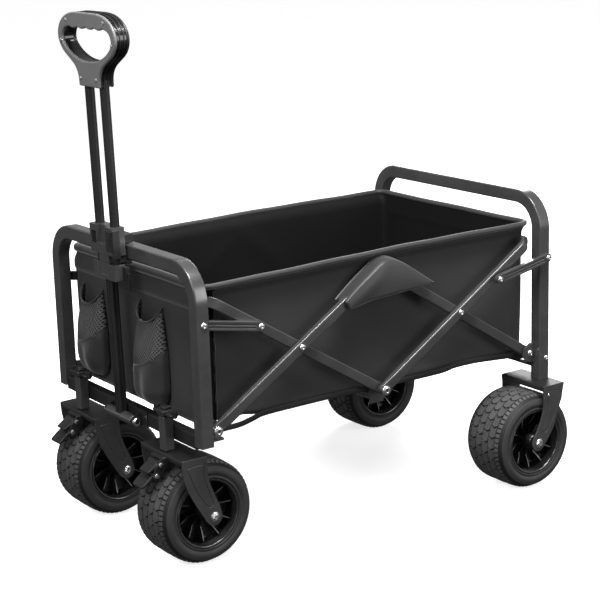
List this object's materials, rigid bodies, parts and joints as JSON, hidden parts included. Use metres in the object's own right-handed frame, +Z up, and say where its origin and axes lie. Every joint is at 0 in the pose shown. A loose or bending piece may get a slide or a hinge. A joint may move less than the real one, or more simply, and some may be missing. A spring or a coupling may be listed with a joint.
{
  "type": "folding camp wagon",
  "caption": "Folding camp wagon: open fabric tub between steel hoops, scissor side braces, swivel front wheels, fixed rear wheels, telescoping pull handle.",
  "frame": {"origin": "bottom centre of the bounding box, on the ground between the wheels", "axes": "+Z up; the nose, with the pull handle and swivel wheels, towards -X; left side towards -Y"},
  "size_m": [0.8934, 0.6042, 0.9511],
  "materials": {
    "charcoal_steel": "satin charcoal powder coat",
    "black_plastic": "moulded, semi-matt",
    "grey_plastic": "moulded, satin grey",
    "tyre_rubber": "matt block tread",
    "zinc": "bright zinc plate",
    "charcoal_fabric": "woven polyester",
    "pocket_mesh": "open mesh over a woven lower half",
    "webbing": "flat webbing"
  },
  "bodies": {
    "front_frame": {"front_hoop": "charcoal_steel", "front_crossbar": "charcoal_steel", "front_foot_bracket_left": "charcoal_steel", "front_foot_bracket_right": "charcoal_steel", "caster_post_left": "charcoal_steel", "caster_post_right": "charcoal_steel", "caster_post_cap_left": "black_plastic", "caster_post_cap_right": "black_plastic", "handle_hinge_bracket": "charcoal_steel", "fabric_tub": "charcoal_fabric", "cup_pocket_left": "pocket_mesh", "cup_pocket_right": "pocket_mesh", "lower_webbing_left": "webbing", "lower_webbing_right": "webbing"},
    "rear_frame": {"rear_hoop": "charcoal_steel", "rear_crossbar": "charcoal_steel", "rear_foot_bracket_left": "charcoal_steel", "rear_foot_bracket_right": "charcoal_steel", "rear_fork_left": "charcoal_steel", "rear_fork_right": "charcoal_steel", "axle_bolt_rear_left": "zinc", "axle_bolt_rear_right": "zinc"},
    "handle_lower": {"handle_stem": "charcoal_steel", "handle_collar": "black_plastic", "handle_clip": "black_plastic"},
    "handle_upper": {"handle_tube_left": "charcoal_steel", "handle_tube_right": "charcoal_steel", "grip_shell_front": "grey_plastic", "grip_shell_rear": "black_plastic"},
    "centre_beam_body": {"centre_beam": "charcoal_steel"},
    "front_outer_left": {"brace_front_outer_left": "charcoal_steel"},
    "front_inner_left": {"brace_front_inner_left": "charcoal_steel"},
    "rear_inner_left": {"brace_rear_inner_left": "charcoal_steel"},
    "rear_outer_left": {"brace_rear_outer_left": "charcoal_steel"},
    "link_front_left_body": {"link_front_left": "charcoal_steel"},
    "link_rear_left_body": {"link_rear_left": "charcoal_steel"},
    "caster_left": {"caster_fork_left": "charcoal_steel", "axle_bolt_front_left": "zinc"},
    "wheel_front_left": {"tyre_front_left": "tyre_rubber", "rim_front_left": "black_plastic"},
    "wheel_rear_left": {"tyre_rear_left": "tyre_rubber", "rim_rear_left": "black_plastic"},
    "brake_pedal_body_left": {"brake_pedal_left": "black_plastic"},
    "brake_release_body_left": {"brake_release_left": "black_plastic"},
    "front_outer_right": {"brace_front_outer_right": "charcoal_steel"},
    "front_inner_right": {"brace_front_inner_right": "charcoal_steel"},
    "rear_inner_right": {"brace_rear_inner_right": "charcoal_steel"},
    "rear_outer_right": {"brace_rear_outer_right": "charcoal_steel"},
    "link_front_right_body": {"link_front_right": "charcoal_steel"},
    "link_rear_right_body": {"link_rear_right": "charcoal_steel"},
    "caster_right": {"caster_fork_right": "charcoal_steel", "axle_bolt_front_right": "zinc"},
    "wheel_front_right": {"tyre_front_right": "tyre_rubber", "rim_front_right": "black_plastic"},
    "wheel_rear_right": {"tyre_rear_right": "tyre_rubber", "rim_rear_right": "black_plastic"},
    "brake_pedal_body_right": {"brake_pedal_right": "black_plastic"},
    "brake_release_body_right": {"brake_release_right": "black_plastic"}
  },
  "joints": [
    {"name": "fold", "type": "hinge", "parent": "front_frame", "child": "front_outer_left", "pos_m": [-0.34143, -0.237, 0.2575], "axis": [0, -1, 0], "range_deg": [0, 41.4], "deforming": ["fabric_tub", "lower_webbing_left", "lower_webbing_right"]},
    {"name": "fold_foot_right", "type": "hinge", "parent": "front_frame", "child": "front_outer_right", "pos_m": [-0.34143, 0.237, 0.2575], "axis": [0, -1, 0], "range_deg": [0, 41.4]},
    {"name": "apex_left", "type": "hinge", "parent": "front_outer_left", "child": "rear_inner_left", "pos_m": [0.01857, -0.237, 0.4843], "axis": [0, -1, 0], "range_deg": [-82.8, 0]},
    {"name": "front_crossing_left", "type": "hinge", "parent": "front_outer_left", "child": "front_inner_left", "pos_m": [-0.16143, -0.237, 0.3709], "axis": [0, -1, 0], "range_deg": [-82.8, 0]},
    {"name": "rear_crossing_left", "type": "hinge", "parent": "rear_inner_left", "child": "rear_outer_left", "pos_m": [0.19857, -0.237, 0.3709], "axis": [0, -1, 0], "range_deg": [0, 82.8]},
    {"name": "apex_right", "type": "hinge", "parent": "front_outer_right", "child": "rear_inner_right", "pos_m": [0.01857, 0.237, 0.4843], "axis": [0, -1, 0], "range_deg": [-82.8, 0]},
    {"name": "front_crossing_right", "type": "hinge", "parent": "front_outer_right", "child": "front_inner_right", "pos_m": [-0.16143, 0.237, 0.3709], "axis": [0, -1, 0], "range_deg": [-82.8, 0]},
    {"name": "rear_crossing_right", "type": "hinge", "parent": "rear_inner_right", "child": "rear_outer_right", "pos_m": [0.19857, 0.237, 0.3709], "axis": [0, -1, 0], "range_deg": [0, 82.8]},
    {"name": "rear_foot_left", "type": "hinge", "parent": "rear_inner_left", "child": "rear_frame", "pos_m": [0.37857, -0.237, 0.2575], "axis": [0, -1, 0], "range_deg": [0, 41.4]},
    {"name": "centre_beam_hinge", "type": "hinge", "parent": "front_inner_left", "child": "centre_beam_body", "pos_m": [0.01857, -0.237, 0.2575], "axis": [0, -1, 0], "range_deg": [0, 41.4]},
    {"name": "link_front_hinge_left", "type": "hinge", "parent": "front_frame", "child": "link_front_left_body", "pos_m": [-0.36643, -0.237, 0.446], "axis": [0, -1, 0], "range_deg": [0, 73.02]},
    {"name": "link_rear_hinge_left", "type": "hinge", "parent": "rear_frame", "child": "link_rear_left_body", "pos_m": [0.40357, -0.261, 0.446], "axis": [0, -1, 0], "range_deg": [-73.02, 0]},
    {"name": "link_front_hinge_right", "type": "hinge", "parent": "front_frame", "child": "link_front_right_body", "pos_m": [-0.36643, 0.237, 0.446], "axis": [0, -1, 0], "range_deg": [0, 73.02]},
    {"name": "link_rear_hinge_right", "type": "hinge", "parent": "rear_frame", "child": "link_rear_right_body", "pos_m": [0.40357, 0.261, 0.446], "axis": [0, -1, 0], "range_deg": [-73.02, 0]},
    {"name": "handle_swing", "type": "hinge", "parent": "front_frame", "child": "handle_lower", "pos_m": [-0.38643, 0, 0.234], "axis": [0, -1, 0], "range_deg": [0, 100]},
    {"name": "handle_slide", "type": "slide", "parent": "handle_lower", "child": "handle_upper", "axis": [0.0209, 0, -0.9998], "range_m": [0, 0.215]},
    {"name": "swivel_left", "type": "hinge", "parent": "front_frame", "child": "caster_left", "pos_m": [-0.38493, -0.153, 0.208], "axis": [0, 0, 1], "continuous": true},
    {"name": "spin_front_left", "type": "hinge", "parent": "caster_left", "child": "wheel_front_left", "pos_m": [-0.33743, -0.153, 0.09414], "axis": [0, 1, 0], "continuous": true},
    {"name": "brake_release_hinge_left", "type": "hinge", "parent": "caster_left", "child": "brake_release_body_left", "pos_m": [-0.40993, -0.153, 0.1915], "axis": [0, -1, 0], "range_deg": [0, 6]},
    {"name": "brake_pedal_hinge_left", "type": "hinge", "parent": "caster_left", "child": "brake_pedal_body_left", "pos_m": [-0.41893, -0.153, 0.1735], "axis": [0, -1, 0], "range_deg": [0, 12]},
    {"name": "spin_rear_left", "type": "hinge", "parent": "rear_frame", "child": "wheel_rear_left", "pos_m": [0.35257, -0.236, 0.09414], "axis": [0, 1, 0], "continuous": true},
    {"name": "swivel_right", "type": "hinge", "parent": "front_frame", "child": "caster_right", "pos_m": [-0.38493, 0.153, 0.208], "axis": [0, 0, 1], "continuous": true},
    {"name": "spin_front_right", "type": "hinge", "parent": "caster_right", "child": "wheel_front_right", "pos_m": [-0.33743, 0.153, 0.09414], "axis": [0, 1, 0], "continuous": true},
    {"name": "brake_release_hinge_right", "type": "hinge", "parent": "caster_right", "child": "brake_release_body_right", "pos_m": [-0.40993, 0.153, 0.1915], "axis": [0, -1, 0], "range_deg": [0, 6]},
    {"name": "brake_pedal_hinge_right", "type": "hinge", "parent": "caster_right", "child": "brake_pedal_body_right", "pos_m": [-0.41893, 0.153, 0.1735], "axis": [0, -1, 0], "range_deg": [0, 12]},
    {"name": "spin_rear_right", "type": "hinge", "parent": "rear_frame", "child": "wheel_rear_right", "pos_m": [0.35257, 0.236, 0.09414], "axis": [0, 1, 0], "continuous": true}
  ],
  "couplings": [
    {"joint": "fold_foot_right", "follows": "fold", "ratio": 1},
    {"joint": "apex_left", "follows": "fold", "ratio": -2},
    {"joint": "front_crossing_left", "follows": "fold", "ratio": -2},
    {"joint": "rear_crossing_left", "follows": "fold", "ratio": 2},
    {"joint": "apex_right", "follows": "fold", "ratio": -2},
    {"joint": "front_crossing_right", "follows": "fold", "ratio": -2},
    {"joint": "rear_crossing_right", "follows": "fold", "ratio": 2},
    {"joint": "rear_foot_left", "follows": "fold", "ratio": 1},
    {"joint": "centre_beam_hinge", "follows": "fold", "ratio": 1},
    {"joint": "link_front_hinge_left", "follows": "fold", "ratio": 1.7637},
    {"joint": "link_rear_hinge_left", "follows": "fold", "ratio": -1.7637},
    {"joint": "link_front_hinge_right", "follows": "fold", "ratio": 1.7637},
    {"joint": "link_rear_hinge_right", "follows": "fold", "ratio": -1.7637}
  ]
}
